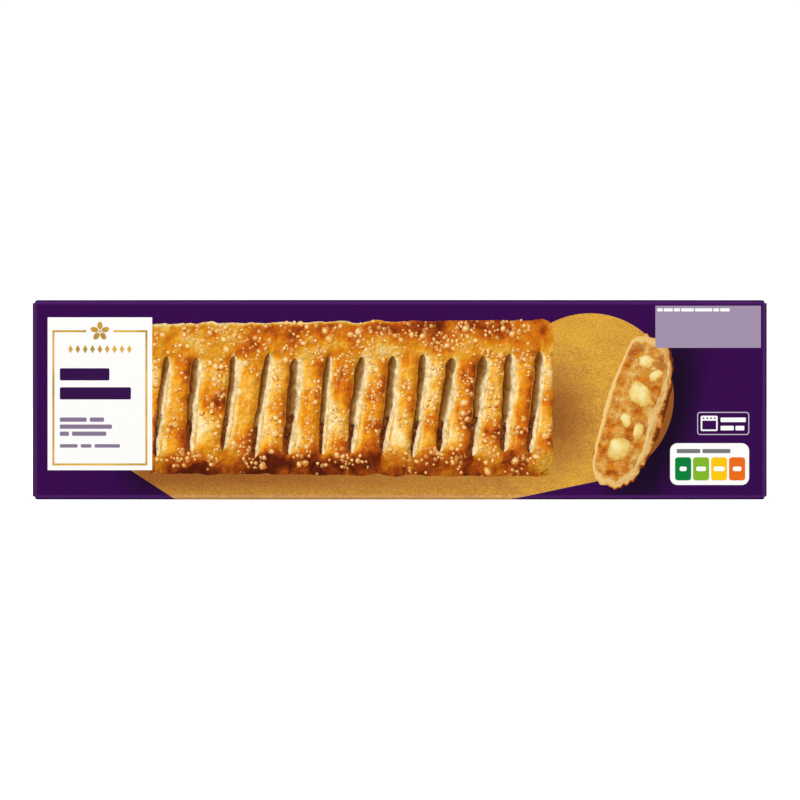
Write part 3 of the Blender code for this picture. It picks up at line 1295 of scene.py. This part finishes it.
def make_slice(outside):
    """The slice's cut face and the chunks of apple in it."""
    shape = flat_shape("depth", "light")
    rows = []
    for ring in SLICE_RINGS:
        row = []
        for angle in round_angles(SLICE_POINTS):
            c = math.cos(angle)
            across, along = slice_rim(angle)
            dough = (4.9 + 3.1 * c) * MM if c > -0.6 else SLICE_THIN
            depth = min((1 - ring) * math.hypot(across, along) / dough, 2.0)
            place = in_slice(across * ring, along * ring)
            row.append(dot(shape, place, depth=depth, light=0.55 - 0.45 * c * ring**3))
        rows.append(row)
    hub = bmesh.ops.poke(shape, faces=[shape.faces.new(rows[0])])["verts"][0]
    for name, value in (("depth", 2.0), ("light", 0.55)):
        hub[shape.verts.layers.float[name]] = value
    skin(shape, rows, closed=True)
    film("slice_face", shape, outside.front, 3, printed("slice_face", slice_face))

    draw = random.Random(settings("picture").seed + 3)
    chunks = []
    for across, along, wide, tall in SLICE_CHUNKS:
        turn = SLICE_TURN + draw.uniform(-0.5, 0.5)
        centre = in_slice(across * SLICE_HALF[0], along * SLICE_HALF[1])
        chunks.append(lump_loop(draw, centre, wide / 2 * MM, tall / 2 * MM, turn))
    domes("slice_apple", chunks, 5, printed("slice_apple", apple), outside.front, lit=(-0.34, 0.38))


# -------- Labels and fields, laid out in millimetres --------


LABEL = (7.25, 14.15, 50.55, 73.9)  # left, bottom, width and height on the front
SLOTS = {"gold_line": "gold_print", "heading": "purple_print"}  # of the inks that aren't white_print


class Sheet:
    """A panel to print on."""

    def __init__(self, place):
        self.place = place

    def lay(self, name, ink_name, layer, loops, holes=False):
        """A film of one of the plain inks or of gold lines, inside loops in millimetres."""
        shape = flat_shape()
        fill(shape, [[(u * MM, v * MM) for u, v in loop] for loop in loops], holes)
        cut_to_bend(shape)
        film(name, shape, self.place, layer, mixed(ink_name), SLOTS.get(ink_name, "white_print"))


def blossom_loops(centre, radius):
    """A five-petalled blossom and its eye."""
    loops = []
    for petal in range(5):
        turn = math.pi / 2 + 2 * math.pi * petal / 5
        middle = moved([(0.58 * radius, 0.0)], centre, turn)[0]
        loops.append(oval_loop(middle, 0.40 * radius, 0.27 * radius, turn, 18))
    return loops + [oval_loop(centre, 0.12 * radius, 0.12 * radius, 0.0, 12)]


def frame_with_gap(left, bottom, width, height, line, gap):
    """Loops of a line frame that is open for a stretch at the middle of its upper side."""
    middle, top, right = left + width / 2, bottom + height, left + width
    return [[
        (middle + gap / 2, top), (middle + gap / 2, top - line), (right - line, top - line),
        (right - line, bottom + line), (left + line, bottom + line), (left + line, top - line),
        (middle - gap / 2, top - line), (middle - gap / 2, top), (left, top), (left, bottom),
        (right, bottom), (right, top),
    ]]


def lozenge_row(centre, count, pitch, half_width, half_height):
    places = [(centre[0] + (i - (count - 1) / 2) * pitch, centre[1]) for i in range(count)]
    return [oval_loop(place, half_width, half_height, 0.0, 4) for place in places]


def word_rows(corner, rows, thick, gap=0.0, radius=0.4):
    """Rows of bars in place of words. A row is its height above the corner and its bars' widths."""
    loops = []
    for level, *widths in rows:
        at = corner[0]
        for width in widths:
            loops.append(box_loop(at, corner[1] + level, width, thick, radius, 3))
            at += width + gap
    return loops


def paragraph(draw, left, top, width, lines, thick=1.5, pitch=3.1):
    """Rows of bars in place of fine print, the last one short."""
    loops = []
    for line in range(lines):
        share = draw.uniform(0.4, 0.7) if line == lines - 1 else draw.uniform(0.92, 1.0)
        at, end = left, left + width * share
        while at < end - 2:
            word = min(draw.uniform(2.5, 9.0), end - at)
            loops.append(box_loop(at, top - line * pitch - thick, word, thick, 0.3 * thick, 2))
            at += word + 0.9
    return loops


def oven_loops(left, bottom, size):
    """An oven's front: a case with a window and four knobs cut out of it."""
    case = box_loop(left, bottom, size, 0.9 * size, 0.09 * size, 4)
    window = box_loop(left + 0.09 * size, bottom + 0.09 * size, 0.82 * size, 0.52 * size, 0.02 * size, 3)
    knobs = [(left + (0.17 + 0.22 * i) * size, bottom + 0.755 * size) for i in range(4)]
    return [case, window, *(oval_loop(knob, 0.054 * size, 0.054 * size, 0.0, 10) for knob in knobs)]


def flake_loops(centre, radius):
    """A six-armed flake of bars that keep clear of one another."""
    loops = [oval_loop(centre, 0.09 * radius, 0.09 * radius, 0.0, 10)]
    thick = 0.1 * radius
    for arm in range(6):
        turn = math.radians(30 + 60 * arm)
        loops.append(moved(box_loop(0.16 * radius, -thick / 2, 0.84 * radius, thick), centre, turn))
        fork = moved([(0.55 * radius, 0.0)], centre, turn)[0]
        for side in (1, -1):
            twig = box_loop(0.14 * radius, -0.4 * thick, 0.26 * radius, 0.8 * thick)
            loops.append(moved(twig, fork, turn + side * math.radians(48)))
    return loops


def upright_label(sheet, names, layer, box, frame, blossom, lozenges, heading, words):
    """A white label with a gold frame that a blossom opens, a row of lozenges, and bars for its words.

    names are the label's own and the start of its parts'. frame is its inset, height, line and gap, blossom
    its height and radius, and lozenges their height, number, pitch and half sizes, with each height taken
    from the label's lower edge.
    """
    left, bottom, width, _ = box
    inset, tall, line, gap = frame
    middle = left + width / 2
    sheet.lay(names[0], "white", layer, [box_loop(*box)])
    loops = frame_with_gap(left + inset, bottom + inset, width - 2 * inset, tall, line, gap)
    sheet.lay(names[1] + "frame", "gold_line", layer + 1, loops)
    ornament = blossom_loops((middle, bottom + blossom[0]), blossom[1])
    ornament += lozenge_row((middle, bottom + lozenges[0]), *lozenges[1:])
    sheet.lay(names[1] + "ornament", "gold_line", layer + 1, ornament)
    sheet.lay(names[1] + "heading", "heading", layer + 1, heading)
    sheet.lay(names[1] + "words", "small", layer + 1, words)


def make_label(outside):
    corner = (LABEL[0] + 5.9, LABEL[1])
    words = word_rows(corner, ((23.4, 13.0, 6.9), (20.0, 25.2), (16.6, 4.4, 16.6)), 2.1, 1.5, 0.5)
    words += word_rows(corner, ((10.9, 8.6, 5.2, 12.3),), 1.7, 1.5, 0.5)
    upright_label(
        Sheet(outside.front), ("label", "label_"), 6, LABEL,
        frame=(2.3, 65.4, 1.0, 13.2),
        blossom=(67.1, 4.8),
        lozenges=(58.5, 9, 3.56, 1.15, 2.05),
        heading=word_rows(corner, ((43.4, 24.0), (34.2, 34.4)), 5.9, radius=0.7),
        words=words,
    )


def make_ends(outside):
    """An upright label on each outer flap."""
    depth = outside.size.depth / MM
    middle = (depth - outside.size.flap_short / MM) / 2 + 0.5
    ends = (("right", outside.right_end, middle), ("left", outside.left_end, depth - middle))
    for side, place, across in ends:
        box = (across - 33 / 2, 13, 33, 70)
        corner = (box[0] + 4.6, box[1])
        rows = ((26.6, 9, 5), (23.4, 17.6), (20.2, 3.4, 12), (12.4, 6, 4, 9), (9.4, 11, 5))
        upright_label(
            Sheet(place), (side + "_end_label", side + "_end_"), 1, box,
            frame=(1.9, 61, 0.8, 11.6),
            blossom=(62.7, 4.2),
            lozenges=(54.4, 7, 3.0, 0.95, 1.7),
            heading=word_rows(corner, ((43.4, 16), (36.2, 23.4)), 4.4, radius=0.6),
            words=word_rows(corner, rows, 1.7, 1.2),
        )


def make_fields(outside):
    """The field for a stamped date, the oven sign and the value panel."""
    sheet = Sheet(outside.front)
    sheet.lay("date_field", "lilac", 6, [box_loop(301.1, 73.3, 51.0, 20.35)])
    bars = word_rows((302.0, 90.9), ((0, 2.6, 4.4, 3.0, 6.2, 8.4, 2.8, 4.6),), 1.5, 0.5, 0.35)
    sheet.lay("date_words", "white", 7, bars)
    sheet.lay("oven_box", "pale", 1, ring_loops(321.3, 31.2, 25.15, 11.1, 0.42, 1.4), holes=True)
    sheet.lay("oven_sign", "white", 1, oven_loops(323.0, 33.1, 8.2), holes=True)
    sheet.lay("oven_words", "white", 1, word_rows((332.6, 33.4), ((4.0, 12.2), (0, 6.4, 4.3)), 2.2, 0.8))
    make_values(sheet)


def make_values(sheet):
    """White panel with four coloured cells, each of which holds a bar."""
    left, bottom = 308.2, 7.0
    sheet.lay("value_panel", "white", 1, [box_loop(left, bottom, 38.2, 20.2, 3.6, 8)])
    heading = word_rows((left + 3.2, bottom + 15.4), ((0, 11.4, 13.6),), 2.0, 1.0)
    sheet.lay("value_heading", "grey", 2, heading)
    bars, at, pitch, width = [], left + 2.4, 8.7, 7.8
    for ink_name, bar in (("green", 3.4), ("lime", 4.8), ("amber", 5.4), ("orange", 4.2)):
        sheet.lay("value_cell_" + ink_name, ink_name, 2, [box_loop(at, bottom + 2.2, width, 11.2, 1.4, 4)])
        bars += word_rows((at + (width - bar) / 2, bottom + 6.7), ((0, bar),), 2.2, radius=0.8)
        at += pitch
    sheet.lay("value_words", "white", 3, bars)


def make_top(outside):
    """Top panel: a small label, the name in bars, and how to keep it, beside a flake."""
    sheet = Sheet(outside.top)
    half = outside.size.depth / MM / 2
    left, width, height = 10, 82, 33
    bottom = half - height / 2
    sheet.lay("top_label", "white", 1, [box_loop(left, bottom, width, height)])
    frame = ring_loops(left + 2, bottom + 2, width - 4, height - 4, 0.8)
    sheet.lay("top_frame", "gold_line", 2, frame, holes=True)
    loops = blossom_loops((left + 17, half + 3.4), 6)
    loops += lozenge_row((left + 17, bottom + 7.2), 5, 3.5, 1.15, 1.9)
    sheet.lay("top_ornament", "gold_line", 2, loops)
    corner = (left + 33, bottom)
    sheet.lay("top_heading", "heading", 2, word_rows(corner, ((20.2, 26), (12.2, 39)), 5.4, radius=0.7))
    sheet.lay("top_words", "small", 2, word_rows(corner, ((6.4, 13, 7, 12),), 1.9, 1.4))

    start = (104, half)
    sheet.lay("top_name", "white", 1, word_rows(start, ((2.6, 30, 44),), 6.6, 3.4, 0.8))
    sheet.lay("top_rule", "gold_line", 1, [box_loop(start[0], half - 1.6, 168, 0.8)])
    rows = ((-7.4, 13, 7, 21, 5, 15, 9, 17), (-12.4, 8, 16, 11, 6, 14))
    sheet.lay("top_pale_words", "pale", 1, word_rows(start, rows, 2.3, 1.8))

    left, width, height = 283, 62, 24
    box = ring_loops(left, half - height / 2, width, height, 0.5, 2.4)
    sheet.lay("flake_box", "pale", 1, box, holes=True)
    sheet.lay("flake", "white", 1, flake_loops((left + 13, half), 8.4))
    rows = ((4.1, 12, 20), (-1.1, 7, 9, 14), (-6.3, 18, 8))
    sheet.lay("flake_words", "white", 1, word_rows((left + 25, half), rows, 2.2, 1.4))


def make_back(outside):
    """Back panel: the name, the contents and values on white, the steps of baking and a striped block."""
    sheet = Sheet(outside.back)
    draw = random.Random(settings("picture").seed + 4)
    start = 11
    loops = blossom_loops((start + 6, 80), 5.6)
    loops += lozenge_row((start + 34, 80), 9, 4, 1.3, 2.3)
    sheet.lay("back_ornament", "gold_line", 1, loops + [box_loop(start, 70.4, 78, 0.8)])
    sheet.lay("back_name", "white", 1, word_rows((start, 0), ((58.6, 34), (47.6, 50)), 7, radius=0.9))
    pale = paragraph(draw, start, 41, 78, 4, 2.0, 4.2)
    sheet.lay("back_words", "pale", 1, pale + paragraph(draw, start, 20.6, 78, 3))

    left, bottom, width, height = 99, 9, 128, 79
    sheet.lay("facts_panel", "white", 1, [box_loop(left, bottom, width, height, 2, 5)])
    top_line, half = bottom + height - 6, 58
    heading = word_rows((left + 5, top_line - 2.6), ((0, 27), (-41, 19)), 2.6)
    heading += word_rows((left + width - half, top_line - 2.6), ((0, 31),), 2.6)
    sheet.lay("facts_heading", "heading", 2, heading)
    small = paragraph(draw, left + 5, top_line - 6, half - 2, 11)
    sheet.lay("facts_words", "small", 2, small + paragraph(draw, left + 5, top_line - 49.4, half - 2, 6))
    make_table(sheet, left + width - half, bottom + 6, half - 5, top_line - bottom - 12)
    make_steps(sheet, draw)
    make_stripes(sheet, draw)


def make_table(sheet, left, bottom, width, height):
    """Ruled table: bars for what is counted and for how much of it there is, in two columns."""
    rows = 9
    pitch = height / rows
    rules, bars, numbers = [], [], []
    for row in range(rows):
        level = bottom + row * pitch
        if row:
            rules.append(box_loop(left + 0.6, level - 0.1, width - 1.2, 0.25))
        middle = level + pitch / 2 - 0.9
        bars += word_rows((left + 2, middle), ((0, 21 - (row * 5) % 9),), 1.8)
        for column, bar in ((0.6, 5 + row * 2 % 3), (0.82, 4 + row % 3)):
            numbers += word_rows((left + column * width, middle), ((0, bar),), 1.8)
    sheet.lay("table_frame", "heading", 2, ring_loops(left, bottom, width, height, 0.35), holes=True)
    sheet.lay("table_rules", "lilac", 2, rules)
    sheet.lay("table_words", "heading", 2, bars)
    sheet.lay("table_numbers", "small", 2, numbers)


THIRD_COLUMN = 235  # its left edge on the back panel


def make_steps(sheet, draw):
    """Three lilac tiles that show unwrapping, baking and waiting: a tray of pastry, an oven and a clock."""
    left, bottom, size, pitch = THIRD_COLUMN, 47, 34, 38.5
    middle = bottom + 20.6
    tiles, words = [], []
    for i in range(3):
        at = left + i * pitch
        tiles.append(box_loop(at, bottom, size, size, 2.6, 6))
        words += paragraph(draw, at + 3.4, bottom + 7.6, size - 7, 2, 1.4, 2.9)
    heading = word_rows((left, bottom + size + 3.2), ((0, 22, 33),), 3.6, 2, 0.6)
    sheet.lay("step_heading", "white", 1, heading)
    sheet.lay("step_tiles", "lilac", 1, tiles)
    sheet.lay("step_words", "heading", 2, words)
    hub = (left + 2 * pitch + size / 2, middle)
    signs = [box_loop(left + 4, middle - 7, 26, 14, 2, 5), oval_loop(hub, 9, 9, 0.0, 40)]
    sheet.lay("step_signs", "white", 2, signs)
    oven = oven_loops(left + pitch + size / 2 - 8.5, middle - 8.5, 17)
    sheet.lay("step_oven", "white", 2, oven, holes=True)
    roll = [box_loop(left + 6.6, middle - 4.2, 20.8, 8.4, 3.4, 6)]
    for i in range(5):
        cut = box_loop(-0.5, -2.2, 1.0, 4.4, 0.45, 3)
        roll.append(moved(cut, (left + 10.2 + 3.4 * i, middle), math.radians(-14)))
    sheet.lay("step_roll", "heading", 3, roll, holes=True)
    hands = (((0.9, -0.6, 4.4, 1.2), 20), ((0.9, -0.5, 6.0, 1.0), 90))
    marks = [moved(box_loop(*hand), hub, math.radians(turn)) for hand, turn in hands]
    sheet.lay("step_marks", "heading", 3, marks + [oval_loop(hub, 0.8, 0.8, 0.0, 12)])


def make_stripes(sheet, draw):
    """A striped block, with the maker's lines beside it."""
    left, bottom, width, height = THIRD_COLUMN, 9, 46, 30
    sheet.lay("stripe_ground", "white", 1, [box_loop(left, bottom, width, height, 1.2, 4)])
    stripes, at = [], left + 5
    while at < left + width - 6:
        thick = draw.choice((0.4, 0.4, 0.8, 1.2))
        stripes.append(box_loop(at, bottom + 7.4, thick, 18.6))
        at += thick + draw.choice((0.5, 0.8, 1.2))
    sheet.lay("stripes", "heading", 2, stripes)
    sheet.lay("stripe_words", "small", 2, word_rows((left + 5, bottom + 3.2), ((0, 7, 12, 12),), 1.9, 2))
    sheet.lay("maker_words", "pale", 1, paragraph(draw, left + 51, 38, 60, 9, 1.6, 3.3))


def make_bottom(outside):
    """Bottom panel: a lilac field and fine print, clear of the gold that runs over from the front."""
    sheet = Sheet(outside.bottom)
    draw = random.Random(settings("picture").seed + 5)
    left, bottom = 12, 8
    sheet.lay("lot_field", "lilac", 1, [box_loop(left, bottom, 58, 24)])
    sheet.lay("lot_words", "white", 2, word_rows((left + 3, bottom + 18.6), ((0, 11, 7, 15),), 2.0, 1.2))
    pale = []
    for column in range(4):
        pale += paragraph(draw, 82 + 66 * column, 31, 58, 6, 1.7, 3.9)
    sheet.lay("bottom_words", "pale", 1, pale)


# -------- Studio --------


VIEW_SHIFT = (0.0003, -0.0003)  # of the camera, in frame widths, which centres the carton
LIGHTS = (  # name, azimuth (0 in front of the carton, 90 to its right), elevation, brightness, softness
    ("key_left", -50, 20, 0.385, 40),
    ("key_right", 50, 20, 0.385, 40),
    ("overhead", 0, 85, 0.15, 60),
    ("back_left", -140, 30, 0.26, 40),
    ("back_right", 140, 30, 0.26, 40),
)


def make_floor():
    shape = bmesh.new()
    bmesh.ops.create_circle(shape, cap_ends=True, radius=40.0, segments=64)
    material, surface, place = new_material("floor_paper")
    tone = remap(speckle(place, 3.0), 0.3, 0.7)
    join(blend(tone, (0.88, 0.88, 0.88), (0.9, 0.9, 0.9)), surface["Base Color"])
    join(1.0, surface["Roughness"])
    join(0.0, surface["Specular IOR Level"])
    join((1.0, 1.0, 1.0), surface["Emission Color"])
    join(0.3, surface["Emission Strength"])
    floor = new_object("floor", shape, [material])
    floor.visible_glossy = floor.visible_diffuse = floor.visible_shadow = False


def make_light(name, azimuth, elevation, brightness, softness):
    """A far soft light."""
    lamp = bpy.data.lights.new(name, "SUN")
    lamp.energy = brightness * math.pi
    lamp.angle = math.radians(softness)
    obj = bpy.data.objects.new(name, lamp)
    a, e = math.radians(azimuth), math.radians(elevation)
    toward = Vector((math.sin(a) * math.cos(e), -math.cos(a) * math.cos(e), math.sin(e)))
    obj.rotation_euler = toward.to_track_quat("Z", "Y").to_euler()
    obj.location = toward
    bpy.context.scene.collection.objects.link(obj)


def make_room(studio):
    """White all round, and left out of gloss so that the dark inks stay deep."""
    world = bpy.data.worlds.new("room")
    bpy.context.scene.world = world
    world.use_nodes = True
    background = world.node_tree.nodes["Background"].inputs
    join((1.0, 1.0, 1.0), background["Color"])
    seen = add(world.node_tree, "ShaderNodeLightPath")["Is Camera Ray"]
    join(remap(seen, 0.0, 1.0, studio.fill, 1.1, smooth=False), background["Strength"])
    world.cycles_visibility.glossy = False


def make_camera(outside, studio):
    camera = bpy.data.cameras.new("camera")
    camera.sensor_width = 36.0
    camera.lens = camera.sensor_width * studio.distance / studio.view_width
    camera.clip_end = 200.0
    camera.shift_x, camera.shift_y = VIEW_SHIFT
    obj = bpy.data.objects.new("camera", camera)
    obj.location = (0.0, -outside.size.depth / 2 - studio.distance, outside.size.height / 2)
    obj.rotation_euler = (math.radians(90), 0.0, 0.0)
    bpy.context.scene.collection.objects.link(obj)
    bpy.context.scene.camera = obj


# -------- Operators --------


class CARTON_OT_stage(bpy.types.Operator):
    """Set up the floor, the light and the camera"""

    bl_idname = "carton.stage"
    bl_label = "Stage"

    def execute(self, context):
        studio = settings("studio")
        make_floor()
        make_room(studio)
        for light in LIGHTS:
            make_light(*light)
        make_camera(Outside(), studio)
        context.scene.view_settings.view_transform = "Standard"
        context.scene.view_settings.look = "None"
        return {"FINISHED"}


class CARTON_OT_board(bpy.types.Operator):
    """Fold the printed board"""

    bl_idname = "carton.board"
    bl_label = "Board"

    def execute(self, context):
        make_board(Outside())
        return {"FINISHED"}


class CARTON_OT_gold(bpy.types.Operator):
    """Print the gold field"""

    bl_idname = "carton.gold"
    bl_label = "Gold field"

    def execute(self, context):
        make_gold(Outside())
        return {"FINISHED"}


class CARTON_OT_pastry(bpy.types.Operator):
    """Print the slit pastry"""

    bl_idname = "carton.pastry"
    bl_label = "Pastry"

    def execute(self, context):
        make_pastry(Outside())
        return {"FINISHED"}


class CARTON_OT_sugar(bpy.types.Operator):
    """Print the sugar on the pastry"""

    bl_idname = "carton.sugar"
    bl_label = "Sugar"

    def execute(self, context):
        make_sugar(Outside())
        return {"FINISHED"}


class CARTON_OT_slice(bpy.types.Operator):
    """Print the slice"""

    bl_idname = "carton.slice"
    bl_label = "Slice"

    def execute(self, context):
        make_slice(Outside())
        return {"FINISHED"}


class CARTON_OT_label(bpy.types.Operator):
    """Print the label and the small fields of the front"""

    bl_idname = "carton.label"
    bl_label = "Label and fields"

    def execute(self, context):
        make_label(Outside())
        make_fields(Outside())
        return {"FINISHED"}


class CARTON_OT_top(bpy.types.Operator):
    """Print the top panel"""

    bl_idname = "carton.top"
    bl_label = "Top print"

    def execute(self, context):
        make_top(Outside())
        return {"FINISHED"}


class CARTON_OT_back(bpy.types.Operator):
    """Print the back panel"""

    bl_idname = "carton.back"
    bl_label = "Back print"

    def execute(self, context):
        make_back(Outside())
        return {"FINISHED"}


class CARTON_OT_ends(bpy.types.Operator):
    """Print the two ends"""

    bl_idname = "carton.ends"
    bl_label = "End print"

    def execute(self, context):
        make_ends(Outside())
        return {"FINISHED"}


class CARTON_OT_bottom(bpy.types.Operator):
    """Print the bottom panel"""

    bl_idname = "carton.bottom"
    bl_label = "Bottom print"

    def execute(self, context):
        make_bottom(Outside())
        return {"FINISHED"}


class CARTON_PT_sidebar(bpy.types.Panel):
    """Lists the carton's settings and building steps"""

    bl_label = "Strudel carton"
    bl_idname = "CARTON_PT_sidebar"
    bl_space_type = "VIEW_3D"
    bl_region_type = "UI"
    bl_category = "Carton"

    def draw(self, context):
        for step in STEPS:
            self.layout.operator(step.bl_idname)
        for name, group in GROUPS.items():
            box = self.layout.box()
            box.label(text=group.__doc__)
            for key in group.__annotations__:
                box.prop(settings(name), key)


STEPS = (
    CARTON_OT_stage,
    CARTON_OT_board,
    CARTON_OT_gold,
    CARTON_OT_pastry,
    CARTON_OT_sugar,
    CARTON_OT_slice,
    CARTON_OT_label,
    CARTON_OT_top,
    CARTON_OT_back,
    CARTON_OT_ends,
    CARTON_OT_bottom,
)
GROUPS = {"sizes": CartonSizes, "colours": PrintColours, "picture": PictureSettings, "studio": StudioSettings}


def register():
    for name, group in GROUPS.items():
        bpy.utils.register_class(group)
        setattr(bpy.types.Scene, "carton_" + name, PointerProperty(type=group))
    for each in (*STEPS, CARTON_PT_sidebar):
        bpy.utils.register_class(each)


def unregister():
    for each in (CARTON_PT_sidebar, *reversed(STEPS)):
        bpy.utils.unregister_class(each)
    for name, group in GROUPS.items():
        delattr(bpy.types.Scene, "carton_" + name)
        bpy.utils.unregister_class(group)


def main():
    register()
    for step in STEPS:
        package, name = step.bl_idname.split(".")
        getattr(getattr(bpy.ops, package), name)()


if __name__ == "__main__":
    main()
